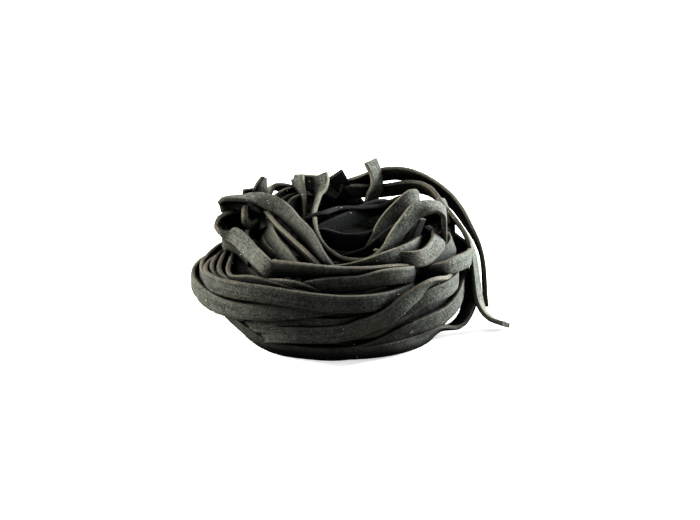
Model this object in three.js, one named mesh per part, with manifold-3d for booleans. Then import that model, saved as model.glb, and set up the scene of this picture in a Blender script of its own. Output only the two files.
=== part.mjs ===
// A nest of dry black tagliatelle: flat ribbons wound by hand into a ring, with loops standing over
// its rim, a hollow in the middle and two loose tails. All sizes in millimetres, +Z up, the nest
// standing on the floor at z = 0.
import * as THREE from "three";
import { mergeVertices } from "three/addons/utils/BufferGeometryUtils.js";
import Module from "manifold-3d";

// Driving dimensions
const RIBBON_WIDTH = 4.2;
const RIBBON_THICKNESS = 1.3;

const HOLLOW_X = 3; // middle of the hollow
const HOLLOW_Y = -3;
const HOLLOW_TOP_RADIUS = 19;
const HOLLOW_FLOOR_RADIUS = 9;
const HOLLOW_FLOOR = 9;
const RIM_HEIGHT = 21; // top of the packed coils under the loops
const RIM_RADIUS = 25.5;
const BULGE_RADIUS = 30.5; // widest part of the packed coils
const BULGE_HEIGHT = 12;
const SHOULDER_RADIUS = 29.5; // just under and just over the widest part
const UNDERSIDE = -0.2; // flat underside, just below the lowest ribbons
const UNDERSIDE_RADIUS = 26;

const BACK_COILS = 8;
const BACK_SEED = 11;
const BACK_RADIUS = 25; // of the topmost back coil, without the swell
const BACK_SWELL = 8; // how much further out the widest one lies
const LOWEST_BACK_COIL = 3; // height of its middle
const BACK_STACK = 15.5; // from the lowest back coil to the topmost one
const LOWEST_MIDDLE = 2.6; // no back coil comes nearer to the floor
const BACK_TUCK = 2.2; // how far their ends are tucked in

const INNER_COILS = 5;
const INNER_SEED = 4;
const INNER_BOW = 1.5; // how far their middles are lifted and drawn to the hollow

// How finely the ribbons are cut into sections
const LONGEST_STEP = 8.5; // along a ribbon's length
const SHORTEST_STEP = 0.8;
const SHARPEST_STEP = 30; // degrees of bend between two sections
const COIL_SAMPLE = 0.5; // spacing of the points that a path is first worked out at
const LOOP_SAMPLE = 0.2;
const EVENNESS = 0.7; // power of the distance between two stations in a loop's parameter
const CORE_SIDES = 32;
const MERGE_DISTANCE = 1e-4;
const SMALLEST_DETAIL = 0.06; // smaller steps on the joined surface are smoothed away

const PASTA = { color: 0x2b2a28, roughness: 0.85, metalness: 0 };

// Coils lie round the ring. Each station is an azimuth in degrees (0 in front, 90 on the right),
// a radius, a height, and how far the ribbon's outer face leans to look upwards, in degrees.
const COILS = {
  base_ring: [[-150, 27, 14, 0], [-120, 29, 12, -5], [-95, 30.3, 10, -15], [-70, 30.3, 7.6, -20],
    [-51, 30, 5.7, -25], [-39, 29.3, 3.2, -25], [-17, 28.5, 2.1, -25], [5, 28.4, 2.2, -25],
    [18, 28.8, 3.5, -25], [30, 29.7, 5.8, -20], [40, 30.4, 7, -15], [54, 31.4, 7.6, -5],
    [65, 31.9, 8.6, 0], [75, 31.8, 10, 0], [85, 31.6, 11.6, 0], [95, 31.5, 12.9, 0], [110, 31.3, 14, 0],
    [150, 29, 17, 0]],
  floor_curl: [[-40, 26, 2.6, -10], [-10, 27.5, 2.3, -15], [20, 29.1, 2.3, -20], [45, 28.9, 2.3, -12],
    [58, 28.6, 2.1, -38], [64, 28.9, 2, -62], [70, 30.6, 1.5, -76], [74, 31.9, 2.1, -80],
    [79, 33.3, 5.1, -78], [84, 33.4, 7.4, -66], [97, 32.3, 10, -34], [112, 31.5, 13, -10]],
  diagonal: [[-100, 27, 10, 0], [-70, 27, 6.5, 0], [-41, 29, 4.7, 0], [-25, 30.8, 6.8, 0],
    [-7, 31.3, 7.9, 0], [6, 31.7, 9, 0], [15, 32.5, 11, 0], [23, 33.2, 13, 0], [30, 33.4, 15.6, -5],
    [35, 33.2, 16.8, -15], [39.5, 33, 17.8, -30], [44.5, 32.5, 18.1, -45], [52.5, 31.5, 17, -55],
    [75, 28.5, 16, -30]],
  right_low: [[-60, 28, 8, 0], [-20, 29.8, 8.5, 0], [18, 30, 9.5, 0], [32, 31, 13.1, 0],
    [44, 32.4, 14.9, 0], [58, 32.6, 15, 0], [68, 31.6, 14.9, 0], [80, 30, 14.5, 0], [100, 29.5, 14, 0],
    [140, 31, 13, 0], [170, 31.5, 11, 0]],
  right_high: [[30, 24.5, 17, 0], [48, 26.5, 18.5, 0], [57, 31, 19.2, 0], [62.5, 32.1, 19.5, 0],
    [71, 32.8, 18.9, 0], [82, 33.2, 17.8, 0], [92, 32.8, 16.9, 0], [104, 32, 16.4, 0],
    [120, 31.5, 16.4, 0], [165, 31, 15, 0], [190, 30.5, 14, 0]],
  front_rim: [[-32, 28, 22.4, -20], [-15, 27.7, 22.6, -20], [0, 27.5, 22.1, -20], [17, 27.5, 21.6, -20],
    [28, 27.3, 21.2, -20], [40, 27, 20, -8], [60, 26.5, 18.5, 0], [85, 26.5, 18, 0]],
  rim_inner: [[-20, 24, 20.5, 0], [8, 24.5, 21.4, 10], [27, 25.5, 23.5, 10], [46, 25, 24.2, 10],
    [60, 23.5, 23.5, 10], [80, 21.5, 20, 5]],
  short_bend: [[-45, 26.5, 13.5, 0], [-23.5, 29, 16.1, 0], [-15.5, 29, 18.1, 0], [0, 29.2, 20, 0],
    [12, 29.3, 20.2, 0], [21.5, 29.8, 21.1, 0], [30.3, 29.7, 20.9, 0], [36.5, 28.9, 20.3, 2],
    [41.5, 27.7, 19.6, 4], [47, 25.6, 18.9, 6]],
  front_long: [[-140, 26, 12, 0], [-115, 27, 13, 0], [-94, 28.6, 14.5, 0], [-80, 31.6, 15.2, 0],
    [-66, 34.6, 15.9, 0], [-50, 35.1, 16.8, 0], [-25, 34.2, 17.9, 0], [-6, 33.8, 17.2, 0],
    [14, 32.6, 16.3, 0], [28, 30.4, 15.8, 0], [42, 27.3, 15.3, 0]],
  outer_left: [[-165, 29, 10, 0], [-135, 31, 10.4, 0], [-115, 32.5, 10.4, 0], [-105, 33.3, 11.3, 0],
    [-95, 34.4, 11.8, 0], [-80, 35.7, 12.1, 0], [-66, 35.8, 12.3, 0], [-48, 34.6, 11.8, 0],
    [-29, 33, 13, 0], [-8, 30.5, 14.5, 0], [40, 28.5, 15, 0]],
  front_mid: [[-50, 28.5, 9.5, 0], [-16, 30.3, 10.6, 0], [2, 30.7, 11, 0], [30, 30, 12.5, 0],
    [55, 29, 14, 0]],
  shadow_low: [[-80, 29.5, 9, 0], [-40, 30, 7.5, 0], [-25, 30.4, 8.8, 0], [5, 29.5, 8, 0],
    [30, 29, 8.6, 0], [52, 28.6, 9.6, 0]],
  page_a: [[-130, 28, 13, 0], [-107, 30.7, 13.9, 0], [-95, 31.8, 13.8, 0], [-84, 33, 14.3, 0],
    [-67, 34.2, 14.5, 0], [-45, 32.5, 15, 0]],
  page_b: [[-130, 26, 13, 0], [-103, 27, 15, 0], [-88, 28.2, 16, 0], [-75, 31.2, 16, 0],
    [-62, 33, 15.6, 0], [-40, 32, 16, 0]],
  page_c: [[-125, 24.5, 13, 0], [-100, 25.5, 15.5, 0], [-84, 27, 17, 0], [-67, 31, 16.6, 0],
    [-55, 32.8, 16.2, 0], [-35, 31.5, 16, 0]],
  page_d: [[-125, 23, 13, 0], [-95, 24.3, 16, 0], [-77, 25.9, 17, 0], [-62, 29.6, 17, 0],
    [-50, 32.3, 17.2, 0], [-40, 32.3, 18.6, 0], [-28, 31.8, 18.4, 0], [-14, 31, 17, 0]],
  left_face: [[-50, 25, 16, 0], [-38, 27.5, 16.5, 0], [-28, 30.5, 18.6, 0], [-18, 31, 19, 0],
    [-8, 29, 16.5, 0], [2, 28, 14.5, 0]],
  rim_left: [[-60, 24, 20, 10], [-95, 22, 22, 10], [-125, 21.5, 23, 5], [-145, 22.5, 22.5, 0],
    [-170, 23, 22, 0], [-200, 23.5, 20.5, 0]],
};

// Ribbons that stand over the rim or cross the hollow. Each station is x, y, z, then the azimuth
// that the ribbon's face looks to, and how far it looks upwards, in degrees.
const LOOPS = {
  cut_flap: [[9.5, -17.3, 22.6, 15, 0], [13, -19.6, 22.9, 20, 4], [16.3, -20.6, 23.1, 24, 8],
    [18.5, -20.3, 23, 26, 9], [20.5, -19, 22.9, 32, 14], [22.2, -17, 23, 38, 22],
    [23.7, -14.5, 23.6, 50, 33], [24.8, -11.5, 24.3, 60, 38], [24.7, -8, 24.6, 75, 40],
    [23.5, -5.5, 22.3, 100, 38], [21.5, -5, 20, 130, 30]],
  behind_flap: [[18, -19.5, 20, 30, 5], [22.3, -16, 20.8, 40, 10], [24.3, -14, 20.3, 45, 12],
    [26.3, -11, 20.6, 60, 18], [28, -8, 21.2, 75, 20], [28.3, -5.5, 21.8, 95, 20],
    [27.5, -3, 21.8, 125, 15], [25.5, -1, 20.6, 150, 10], [22.5, 0, 19, 165, 5]],
  hollow_arch: [[-3.9, 14, 32.8, -20, 0], [-3.5, 13, 31.4, -28, 2], [-3.8, 11.5, 30.1, -42, 4],
    [-4.4, 10, 28.8, -50, 5], [-4.9, 7, 27.7, -56, 8], [-5.6, 2, 26.6, -62, 10],
    [-5.6, -3, 25.6, -65, 5], [-4.9, -7, 24.4, -62, -8], [-3.4, -11, 23.2, -55, -25],
    [-1.2, -14.5, 22.3, -40, -40], [1.4, -17, 21.7, -20, -45], [4.1, -19, 21.7, 0, -45],
    [7, -19.5, 21.8, 15, -42], [9.6, -19.5, 22.7, 25, -35], [11.8, -18.5, 24.1, 32, -20],
    [13.5, -16.5, 25.9, 36, -5], [15, -15, 27.9, 36, 2], [17.4, -13, 30.4, 38, 10],
    [19.7, -11, 32.2, 35, 30], [22.1, -9.8, 32.7, 25, 58], [23.8, -8.8, 32.5, 30, 68],
    [25.3, -8, 31.7, 55, 55], [26.2, -7.5, 30.5, 85, 15], [26.4, -7.5, 28, 92, 0],
    [26.5, -7.5, 24.6, 92, 0], [26.2, -7.5, 20, 92, 0]],
  hollow_strip: [[0, -12, 18, 0, 0], [3.2, -13, 19.9, 10, 10], [7.3, -12, 20.9, 20, 15],
    [10.2, -11, 22.8, 30, 20], [12.7, -9, 24.4, 32, 20], [15.4, -7, 25.7, 35, 12], [19, -4, 27, 38, 5]],
  wide_leaf: [[7, -12, 19, 20, 5], [10, -7.5, 23, 18, 8], [12.2, -4.5, 26.2, 14, 12],
    [14.9, -2.6, 28.9, 12, 14], [17.5, -1, 31, 16, 14], [19, 0.6, 31.5, 45, 12], [19.9, 2.6, 30, 75, 3],
    [20.3, 5, 27, 92, -3], [20.5, 8, 22, 98, 0]],
  lit_leaf: [[17.6, -9, 19.5, 60, 0], [18.9, -7, 23.4, 64, 0], [20, -6.2, 26, 66, 3],
    [20.9, -5.8, 28.2, 68, 5]],
  hollow_low: [[-9, -8, 21, -20, 0], [-3.9, -7, 24.1, -10, 0], [1, -9, 23.5, -5, 4],
    [3.7, -9, 23.4, 0, 5], [7.1, -7.5, 23.2, 10, 5], [12.8, -3, 24, 25, 5], [19.1, 3, 25.2, 40, 0],
    [22, 8, 24, 60, 0]],
  hollow_back: [[-7, -2, 25.6, -20, -30], [-3.9, 0, 27, -20, -40], [-0.7, 3, 27.3, -15, -50],
    [3.7, 5, 26.6, -5, -50], [8, 7, 26.1, 0, -50], [12.2, 8.5, 25.9, 5, -45], [16.4, 9, 27.2, 25, -20],
    [20, 10, 26, 50, 0]],
  hollow_mid: [[-7, -6, 23, -10, 0], [-1.5, -1.5, 24.4, -8, 0], [4.7, 4, 25.3, 0, 0],
    [11, 9, 26, 10, 0], [16, 13, 23, 20, 0]],
  top_leaf: [[-17, 4, 24.5, -10, -20], [-21.5, 4.2, 26.1, -15, -10], [-24.8, 5.6, 26.9, -25, 0],
    [-27.4, 6.6, 27.3, -38, 5], [-28.7, 6.7, 28.1, -90, 15], [-27.9, 6.4, 29, -130, 60],
    [-26, 6, 29.5, -160, 75], [-23.8, 5.5, 29.7, 180, 80], [-21.8, 5, 30, -80, 80],
    [-19.6, 4.5, 29.9, -60, 62], [-14.6, 2, 28.7, -50, 35], [-10, -5, 26.8, -52, 12],
    [-6.2, -13, 25.4, -55, 8], [-3.4, -21, 23, -50, 6], [-0.5, -23, 20, -45, 0]],
  left_crown: [[-21, 7, 25, 50, 0], [-21.7, 8.5, 28, 50, 5], [-21.5, 9, 30.8, 50, 5]],
  left_tip: [[-19, 8, 27, 0, 5], [-18.8, 9, 29.9, 20, 5], [-18.6, 9.3, 31.4, 52, 5],
    [-18.2, 9.8, 32.5, 72, 3], [-17.8, 10.2, 33.5, 85, 0]],
  rim_arch: [[-19.5, 10, 25, 0, -50], [-18.5, 13, 27.2, 0, -55], [-17.1, 16, 28, 0, -55],
    [-15.9, 17, 28.4, 0, -55], [-14.6, 17.5, 28.5, 0, -55], [-12.9, 18, 27.9, 0, -50],
    [-8.6, 19, 25.3, 0, -30], [-5, 19.5, 22, 0, -20]],
  rim_edge_a: [[-18, 2, 24.9, -20, 0], [-16.4, 6, 26.3, -15, 0], [-14.2, 10, 27.2, -12, 0],
    [-10.6, 15, 27.2, -5, 0], [-8, 17, 25, 0, 0]],
  rim_edge_b: [[-17, -1, 24, -15, 0], [-15.9, 4, 25.1, -10, 0], [-12, 11, 26.2, -5, 0],
    [-9.8, 13, 26.3, 0, 0], [-6, 15, 24.5, 5, 0]],
  rim_edge_c: [[-13.5, -2, 23, 0, 0], [-13.1, 2, 24, 0, 0], [-11.7, 6, 25.3, 0, 0],
    [-9.5, 10, 26.7, 5, 0], [-6, 12, 26, 10, 0]],
  corner_fold: [[-8.1, 4, 22, -72, 0], [-8.3, 8, 25.5, -68, 0], [-8.4, 10, 27.5, -65, 0],
    [-8.8, 12, 29.1, -60, 0], [-9.3, 13.5, 30.5, -50, 0], [-9.7, 14.5, 31.9, -40, 0]],
  corner_back: [[-10.6, 15.5, 30.3, -20, 0], [-8.1, 17, 29.8, -5, 0], [-5.8, 18, 29.2, 0, 0],
    [-3, 19, 28.4, 5, 0], [1, 20, 26, 5, 0]],
  back_corner: [[-0.1, 19, 31.1, 15, 5], [1.3, 20, 28.2, 18, 0], [2.8, 21, 25.4, 20, 0],
    [4.8, 22, 22.4, 20, 0], [7, 22, 19, 20, 0]],
  hook: [[8.6, 20, 34.5, 46, 0], [9.3, 19.5, 33.1, 49, 0], [10, 18.9, 31.5, 50, 0],
    [10.3, 17.8, 29.8, 48, 0], [10.2, 16.8, 28.1, 46, 0], [9.4, 16.3, 26.7, 45, 0],
    [8.9, 16, 25.1, 45, 0], [8, 16, 22, 45, 0]],
  left_loop: [[-17, 6, 24, 180, 60], [-22.4, 6.5, 25, 180, 68], [-25.4, 6, 25.6, 180, 68],
    [-27.5, 4.5, 25.6, -150, 62], [-28.8, 3, 25.1, -112, 42], [-29.3, 1.5, 24.2, -95, 12],
    [-29, 0, 23.3, -72, -33], [-27.7, -1.5, 23.1, -45, -62], [-25.9, -3, 23.2, 160, -50],
    [-24, -5.5, 23.2, 158, -40], [-20.4, -13, 22.1, 165, -23], [-16.8, -20.5, 21.3, 176, -4],
    [-14.5, -22, 19, 180, 4], [-12.5, -22.5, 16.5, 180, 8]],
  left_cheek: [[-26, 7, 21, -115, 0], [-27.5, 3, 21.5, -95, 0], [-27.4, 0, 20.5, -75, 5],
    [-26.4, -2, 20, -60, 8], [-24.6, -4, 19.9, -50, 8], [-21, -10, 19.8, -38, 8],
    [-17, -17, 18.5, -25, 5]],
  s_fold: [[-20, 8, 27, 45, 0], [-21.1, 6, 28, 50, 0], [-21.9, 4, 26.7, 58, 5], [-22, 2, 25.6, 58, 5],
    [-21.3, 1, 24.6, 50, 5], [-20, 1.5, 23.3, 40, 0], [-18.5, 4, 21, 35, 0]],
  grey_leaf: [[-20, 8, 27.3, -55, 25], [-18.5, 4.5, 26, -56, 24], [-17, 1, 24.6, -60, 25],
    [-15.2, -7, 22.9, -66, 25], [-13.6, -12, 22.4, -68, 25], [-11.8, -17, 22.1, -66, 22],
    [-9.5, -22, 20.5, -58, 15]],
  under_leaf: [[-18, 5.5, 25.6, -62, -15], [-16.3, 1, 25.4, -62, -18], [-14, -4, 24.6, -63, -22],
    [-9.5, -13, 23.6, -64, -24], [-5.5, -20.5, 22.1, -58, -18], [-3, -23, 20, -50, -10]],
  back_arch: [[-18, 21, 17, -30, 0], [-11.7, 24, 21.1, -20, 0], [-5.4, 24, 23.5, -10, -15],
    [5.3, 22.5, 27.6, 3, -28], [11.1, 21.5, 30, -2, -27], [14.7, 21, 30.7, -10, -27],
    [18.4, 20, 30.6, -22, -25], [22.2, 18.5, 29.6, -36, -20], [26.2, 16.2, 27.7, -46, -17],
    [29.6, 13.2, 25.3, -55, -12], [32.1, 9.8, 22.7, -64, -13], [33.6, 7, 20.8, -71, -18],
    [34.8, 5, 19, -78, -18], [36.3, 3, 15.2, -88, -12], [37.1, 1.5, 6.8, -90, -5],
    [37.5, 1, 2.8, -90, -5]],
  front_tail: [[-14, 17, 20, -15, 0], [-9.1, 20, 23.4, -10, -10], [4.1, 21, 26, 0, -25],
    [9.4, 20.5, 26.2, -5, -28], [14.7, 19.5, 27, -8, -30], [18.7, 18, 28.2, -16, -34],
    [22.6, 15.5, 28.4, -42, -33], [24.6, 13.5, 27.8, -55, -33], [26.7, 10, 26.1, -70, -33],
    [29.6, 5, 24, -75, -33], [31.2, 2.5, 22.6, -78, -32], [33, -1, 20.1, -88, -28],
    [33.8, -2.6, 17, -105, -20], [34.6, -4, 11.5, -111, -12], [35.2, -5.2, 7.2, -109, -14],
    [36.4, -6.2, 4.1, -95, -28], [37.5, -6.7, 2.8, -80, -45], [38.8, -7.2, 2, -68, -55],
    [40.5, -8, 1.6, -55, -60], [42, -8.9, 1.5, -50, -60]],
  stub: [[26, 10.5, 27.3, 48, 0], [26.7, 9.5, 26.6, 50, 0], [27.8, 7.5, 25.7, 55, 0],
    [29.1, 5, 22.9, 60, 0]],
  behind_loop: [[-28.9, 4, 23.5, 48, 15], [-25.9, 7, 23.1, 47, 18], [-23, 9, 22.7, 40, 15],
    [-17, 12, 21.3, 30, 0]],
  right_wall: [[17, 16, 18.6, 15, -10], [22, 12.5, 21.4, 20, -12], [25.5, 9.5, 22.7, 25, -8],
    [28, 6.5, 21.6, 35, -5], [28.5, 3, 20, 60, 0], [27.5, 0, 18, 80, 0]],
};

// A seeded random number from 0 to 1.
function seeded(seed) {
  let state = seed >>> 0;
  return () => {
    state = (Math.imul(state, 1664525) + 1013904223) >>> 0;
    return state / 4294967296;
  };
}

// The back of the nest: coils that carry the ring round behind, higher towards the middle.
function backCoils() {
  const random = seeded(BACK_SEED);
  const between = (low, high) => low + (high - low) * random();
  const coils = {};
  for (let i = 0; i < BACK_COILS; i++) {
    const level = i / (BACK_COILS - 1);
    const middle = LOWEST_BACK_COIL + BACK_STACK * level;
    const swell = Math.sin(Math.PI * Math.min(1, 0.18 + 0.75 * level));
    const radius = BACK_RADIUS + BACK_SWELL * swell + between(-0.5, 0.5);
    const slope = between(0, 3);
    const from = between(78, 110);
    const to = between(238, 285);
    const stations = [];
    for (let k = 0; k <= 5; k++) {
      const azimuth = from + ((to - from) * k) / 5;
      const tuck = k === 0 || k === 5 ? BACK_TUCK : 0;
      const height = middle + (slope * (k - 2.5)) / 2.5 + between(-0.8, 0.8);
      const reach = radius - tuck + between(-0.6, 0.6);
      stations.push([azimuth, reach, Math.max(LOWEST_MIDDLE, height), between(-8, 8)]);
    }
    coils["back_" + i] = stations;
  }
  return coils;
}

// Inside the rim: coils that lean into the hollow.
function innerCoils() {
  const random = seeded(INNER_SEED);
  const between = (low, high) => low + (high - low) * random();
  const coils = {};
  for (let i = 0; i < INNER_COILS; i++) {
    const from = 25 + (360 * i) / INNER_COILS + between(-15, 15);
    const sweep = between(110, 170);
    const radius = between(19, 22);
    const height = between(17.5, 20);
    const slope = between(-1.5, 1.5);
    const stations = [];
    for (let k = 0; k <= 4; k++) {
      const bow = INNER_BOW * Math.sin((Math.PI * k) / 4);
      const reach = radius - bow + between(-0.7, 0.7);
      const level = height + slope * (k / 2 - 1) + bow - 0.5;
      stations.push([from + (sweep * k) / 4, reach, level, 12 + between(-10, 18)]);
    }
    coils["inner_" + i] = stations;
  }
  return coils;
}

// Natural cubic spline through rows of numbers at the parameters t.
function spline(t, rows) {
  const n = t.length;
  const width = rows[0].length;
  const second = rows.map(() => new Array(width).fill(0));
  const c = new Array(n).fill(0);
  const d = rows.map(() => new Array(width).fill(0));
  for (let i = 1; i < n - 1; i++) {
    const before = t[i] - t[i - 1];
    const after = t[i + 1] - t[i];
    const pivot = 2 * (before + after) - before * c[i - 1];
    c[i] = after / pivot;
    for (let k = 0; k < width; k++) {
      const bend = (rows[i + 1][k] - rows[i][k]) / after - (rows[i][k] - rows[i - 1][k]) / before;
      d[i][k] = (6 * bend - before * d[i - 1][k]) / pivot;
    }
  }
  for (let i = n - 2; i > 0; i--) {
    for (let k = 0; k < width; k++) second[i][k] = d[i][k] - c[i] * second[i + 1][k];
  }
  return (at) => {
    let i = 0;
    while (i < n - 2 && at > t[i + 1]) i++;
    const span = t[i + 1] - t[i];
    const a = (t[i + 1] - at) / span;
    const b = (at - t[i]) / span;
    const bendA = ((a ** 3 - a) * span * span) / 6;
    const bendB = ((b ** 3 - b) * span * span) / 6;
    return rows[i].map(
      (value, k) => a * value + b * rows[i + 1][k] + bendA * second[i][k] + bendB * second[i + 1][k],
    );
  };
}

// Unit vector that looks to an azimuth and up by a tilt.
function facing(azimuth, tilt) {
  const a = THREE.MathUtils.degToRad(azimuth);
  const t = THREE.MathUtils.degToRad(tilt);
  return new THREE.Vector3(Math.sin(a) * Math.cos(t), -Math.cos(a) * Math.cos(t), Math.sin(t));
}

function roundTheRing(azimuth, radius, height) {
  const a = THREE.MathUtils.degToRad(azimuth);
  return new THREE.Vector3(radius * Math.sin(a), -radius * Math.cos(a), height);
}

// Close-set points and face directions along a coil.
function coilPath(stations) {
  const points = stations.map(([a, r, z]) => roundTheRing(a, r, z));
  const t = [0];
  for (let i = 1; i < points.length; i++) t.push(t[i - 1] + points[i].distanceTo(points[i - 1]));
  const curve = spline(t, stations);
  const count = Math.ceil(t.at(-1) / COIL_SAMPLE);
  return Array.from({ length: count + 1 }, (_, i) => {
    const [a, r, z, lean] = curve((t.at(-1) * i) / count);
    return { point: roundTheRing(a, r, z), face: facing(a, lean) };
  });
}

// The same for a loop, whose stations are already points.
function loopPath(stations) {
  const points = stations.map(([x, y, z]) => new THREE.Vector3(x, y, z));
  const faces = stations.map(([, , , azimuth, tilt]) => facing(azimuth, tilt));
  const t = [0];
  for (let i = 1; i < points.length; i++) {
    t.push(t[i - 1] + Math.pow(points[i].distanceTo(points[i - 1]), EVENNESS));
    if (faces[i].dot(faces[i - 1]) < 0) faces[i].negate();
  }
  const curve = spline(t, points.map((p) => p.toArray()));
  const count = Math.ceil(t.at(-1) / LOOP_SAMPLE);
  let leg = 0;
  return Array.from({ length: count + 1 }, (_, i) => {
    const at = (t.at(-1) * i) / count;
    while (leg < t.length - 2 && at > t[leg + 1]) leg++;
    const share = (at - t[leg]) / (t[leg + 1] - t[leg]);
    const face = faces[leg].clone().lerp(faces[leg + 1], share);
    return { point: new THREE.Vector3(...curve(at)), face };
  });
}

// Directions at a place on a path: along it, out of the ribbon's face and across its width.
function frameAt(path, i) {
  const before = path[Math.max(0, i - 1)].point;
  const after = path[Math.min(path.length - 1, i + 1)].point;
  const along = after.clone().sub(before).normalize();
  const face = path[i].face.clone();
  face.addScaledVector(along, -face.dot(along)).normalize();
  return { middle: path[i].point, along, face, across: along.clone().cross(face) };
}

// Sections of the ribbon, closer together where it bends.
function sections(path) {
  const out = [];
  const end = path.length - 1;
  let length = 0;
  for (let i = 0; i <= end; i++) {
    const here = frameAt(path, i);
    if (i === 0) {
      out.push(here);
      continue;
    }
    length += path[i].point.distanceTo(path[i - 1].point);
    const last = out.at(-1);
    const turn = Math.max(here.along.angleTo(last.along), here.face.angleTo(last.face));
    const bent = THREE.MathUtils.radToDeg(turn) > SHARPEST_STEP && length > SHORTEST_STEP;
    if (length > LONGEST_STEP || bent || i === end) {
      if (i === end && length < SHORTEST_STEP && out.length > 1) out.pop();
      out.push(here);
      length = 0;
    }
  }
  return out;
}

// A closed ribbon of rectangular section through the sections.
function ribbonGeometry(path) {
  const rows = sections(path);
  const corners = [[-1, -1], [1, -1], [1, 1], [-1, 1]];
  const positions = [];
  for (const { middle, face, across } of rows) {
    for (const [u, v] of corners) {
      const p = middle.clone();
      p.addScaledVector(across, (u * RIBBON_WIDTH) / 2);
      p.addScaledVector(face, (v * RIBBON_THICKNESS) / 2);
      positions.push(p.x, p.y, p.z);
    }
  }
  const index = [0, 2, 1, 0, 3, 2];
  for (let i = 0; i + 1 < rows.length; i++) {
    for (let k = 0; k < 4; k++) {
      const a = 4 * i + k;
      const b = 4 * i + ((k + 1) % 4);
      index.push(a, b, b + 4, a, b + 4, a + 4);
    }
  }
  const end = 4 * (rows.length - 1);
  index.push(end, end + 1, end + 2, end, end + 2, end + 3);
  const geometry = new THREE.BufferGeometry();
  geometry.setAttribute("position", new THREE.Float32BufferAttribute(positions, 3));
  geometry.setIndex(index);
  return geometry;
}

// The packed coils behind the ribbons that show: a low ring with a bowl-shaped hollow off its middle.
function coreGeometry() {
  const outside = [[0, UNDERSIDE], [UNDERSIDE_RADIUS, UNDERSIDE],
    [SHOULDER_RADIUS, 0.45 * BULGE_HEIGHT], [BULGE_RADIUS, BULGE_HEIGHT],
    [SHOULDER_RADIUS, 0.78 * RIM_HEIGHT], [RIM_RADIUS, RIM_HEIGHT]];
  const inside = [[HOLLOW_TOP_RADIUS, RIM_HEIGHT], [0.75 * HOLLOW_TOP_RADIUS, 0.68 * RIM_HEIGHT],
    [HOLLOW_FLOOR_RADIUS, HOLLOW_FLOOR], [0, HOLLOW_FLOOR]];
  const profile = [...outside, ...inside].map(([r, z]) => new THREE.Vector2(r, z));
  const geometry = new THREE.LatheGeometry(profile, CORE_SIDES);
  geometry.rotateX(Math.PI / 2);
  const position = geometry.attributes.position;
  const margin = 0.01;
  for (let i = 0; i < position.count; i++) {
    const x = position.getX(i);
    const y = position.getY(i);
    const radius = Math.hypot(x, y);
    if (position.getZ(i) > HOLLOW_FLOOR - margin && radius < HOLLOW_TOP_RADIUS + margin) {
      position.setXY(i, x + HOLLOW_X, y + HOLLOW_Y);
    }
  }
  return geometry;
}

const wasm = await Module();
wasm.setup();

// A closed solid with the given triangles, turned the right way out.
function solid(geometry) {
  const bare = new THREE.BufferGeometry();
  bare.setAttribute("position", geometry.attributes.position);
  bare.setIndex(geometry.index);
  const merged = mergeVertices(bare, MERGE_DISTANCE);
  const corners = merged.index.array;
  const made = (order) => {
    const triangles = [];
    for (let i = 0; i < corners.length; i += 3) {
      const [a, b, c] = order.map((k) => corners[i + k]);
      if (a !== b && b !== c && a !== c) triangles.push(a, b, c);
    }
    return new wasm.Manifold(
      new wasm.Mesh({
        numProp: 3,
        vertProperties: new Float32Array(merged.attributes.position.array),
        triVerts: new Uint32Array(triangles),
      }),
    );
  };
  const body = made([0, 1, 2]);
  return body.volume() > 0 ? body : made([0, 2, 1]);
}

// Everything joined into one body, without sealed voids or loose scraps.
function fuse() {
  const pieces = [solid(coreGeometry())];
  for (const stations of Object.values({ ...COILS, ...backCoils(), ...innerCoils() })) {
    pieces.push(solid(ribbonGeometry(coilPath(stations))));
  }
  for (const stations of Object.values(LOOPS)) pieces.push(solid(ribbonGeometry(loopPath(stations))));
  const joined = wasm.Manifold.union(pieces).simplify(SMALLEST_DETAIL);
  const bodies = joined.decompose().sort((a, b) => b.volume() - a.volume());
  return bodies[0];
}

function geometryOf(manifold) {
  const mesh = manifold.getMesh();
  const positions = new Float32Array(mesh.numVert * 3);
  for (let i = 0; i < mesh.numVert; i++) {
    positions.set(mesh.vertProperties.subarray(i * mesh.numProp, i * mesh.numProp + 3), 3 * i);
  }
  const geometry = new THREE.BufferGeometry();
  geometry.setAttribute("position", new THREE.BufferAttribute(positions, 3));
  geometry.setIndex(new THREE.BufferAttribute(mesh.triVerts, 1));
  return geometry;
}

// The nest is placed with the middle of its outline over the origin and its lowest ribbon at z = 0.
const geometry = geometryOf(fuse());
geometry.computeBoundingBox();
const { min, max } = geometry.boundingBox;
geometry.translate(-(min.x + max.x) / 2, -(min.y + max.y) / 2, -min.z);
geometry.computeVertexNormals();

const nest = new THREE.Mesh(geometry, new THREE.MeshStandardMaterial(PASTA));
nest.name = "pasta_nest";

const group = new THREE.Group();
group.add(nest);

export default group;
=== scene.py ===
import math

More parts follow.
